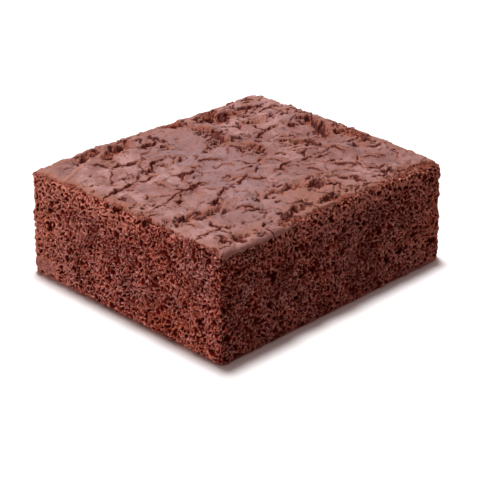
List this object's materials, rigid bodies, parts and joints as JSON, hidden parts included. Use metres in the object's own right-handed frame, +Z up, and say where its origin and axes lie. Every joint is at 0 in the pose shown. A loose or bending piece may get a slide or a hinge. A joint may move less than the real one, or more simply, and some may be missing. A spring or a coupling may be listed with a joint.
{
  "type": "chocolate brownie",
  "caption": "Rectangular slab of chocolate brownie with a thin, crackled crust on top and cut, pored crumb on all four sides.",
  "frame": {"origin": "centre of the footprint, on the flat underside that the brownie rests on", "axes": "+X along the longer side of the slab, +Y along the shorter side, +Z up through the crust"},
  "size_m": [0.0766, 0.068, 0.028],
  "materials": {
    "cake": "matte"
  },
  "bodies": {
    "root": {"brownie": "cake"}
  },
  "joints": []
}
